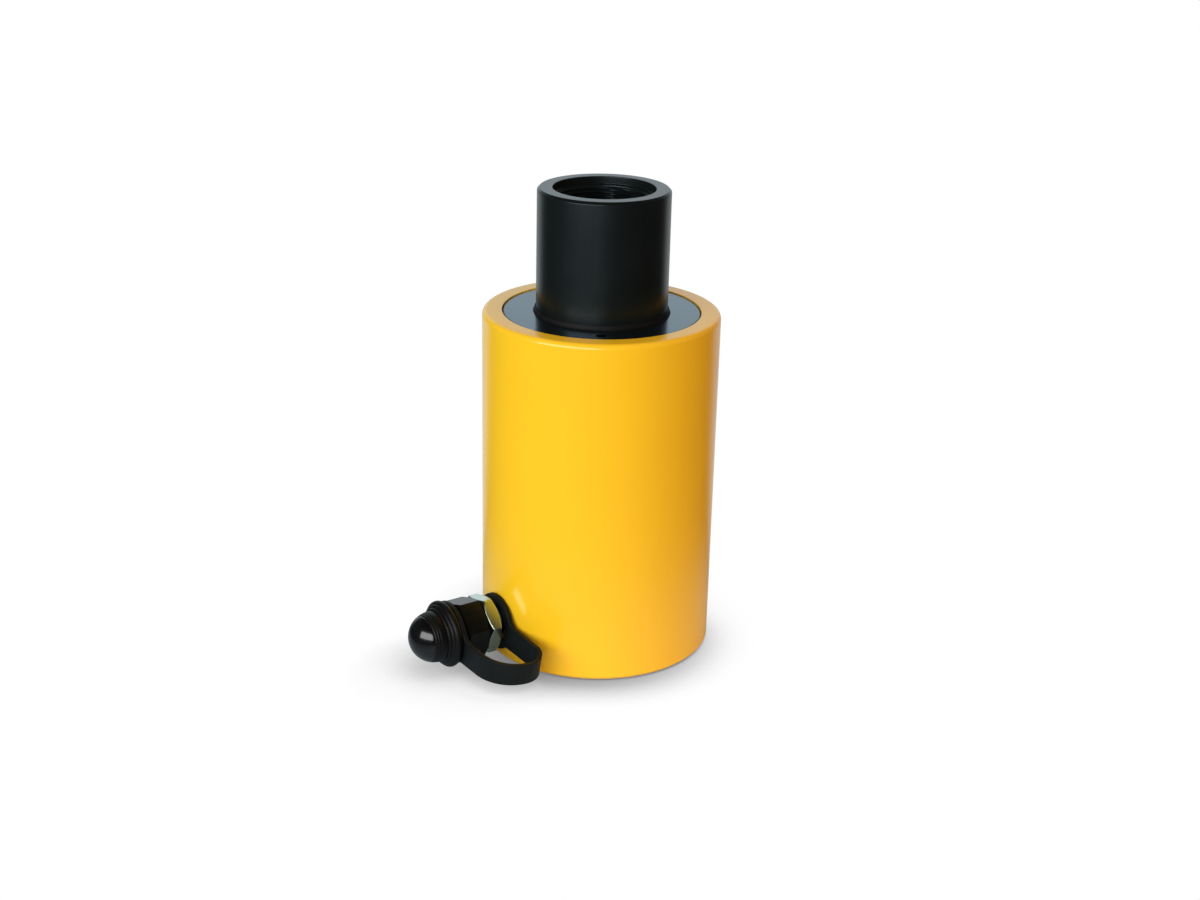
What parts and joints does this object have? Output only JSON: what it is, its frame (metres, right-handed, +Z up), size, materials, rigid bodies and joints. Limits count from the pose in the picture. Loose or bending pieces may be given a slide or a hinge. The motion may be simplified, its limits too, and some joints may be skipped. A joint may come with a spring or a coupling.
{
  "type": "hollow plunger cylinder",
  "caption": "Single-acting hollow plunger hydraulic cylinder with painted body, black gland and raised plunger, and a capped hose coupler on a strap.",
  "frame": {"origin": "on the axis of the through hole, at the underside of the base", "axes": "+Z up along the bore and the plunger's travel, the hose coupler points to -Y"},
  "size_m": [0.114, 0.1631, 0.228],
  "materials": {
    "body_paint": "gloss enamel",
    "black_oxide": "black oxide, oiled",
    "black_plunger": "black oxide, satin",
    "bare_steel": "turned and ground",
    "spring_steel": "drawn wire, oiled",
    "bronze": "turned",
    "zinc_plate": "yellow-passivated zinc",
    "seal_rubber": "moulded",
    "seal_polyurethane": "moulded",
    "ring_plastic": "turned",
    "wear_plastic": "moulded",
    "cap_plastic": "moulded, glossy",
    "strap_plastic": "moulded, satin"
  },
  "bodies": {
    "barrel": {"cylinder_body": "body_paint", "center_tube": "bare_steel", "tube_o_ring": "seal_rubber", "gland_nut": "black_oxide", "stop_sleeve": "bare_steel", "guide_bush": "bronze", "plunger_wiper": "seal_rubber", "return_spring": "spring_steel", "port_adapter": "zinc_plate", "coupler_body": "black_oxide", "coupler_seal": "seal_rubber", "valve_guide": "bare_steel", "valve_spring": "spring_steel", "cap_strap": "strap_plastic"},
    "ram": {"plunger": "black_plunger", "piston_seal": "seal_polyurethane", "piston_backup_ring": "ring_plastic", "piston_wear_ring": "wear_plastic", "tube_seal": "seal_polyurethane", "tube_backup_ring": "ring_plastic", "tube_wear_ring": "wear_plastic"},
    "cap": {"dust_cap": "cap_plastic"},
    "poppet": {"valve_poppet": "bare_steel"}
  },
  "joints": [
    {"name": "plunger_slide", "type": "slide", "parent": "barrel", "child": "ram", "axis": [0, 0, 1], "range_m": [-0.056, 0.008], "deforming": ["return_spring"]},
    {"name": "cap_pull", "type": "slide", "parent": "barrel", "child": "cap", "axis": [0, -1, 0], "range_m": [0, 0.03], "deforming": ["cap_strap"]},
    {"name": "valve_push", "type": "slide", "parent": "barrel", "child": "poppet", "axis": [0, 1, 0], "range_m": [0, 0.003], "stiffness_N_per_m": 1000, "springref_m": -0.003, "deforming": ["valve_spring"]}
  ]
}
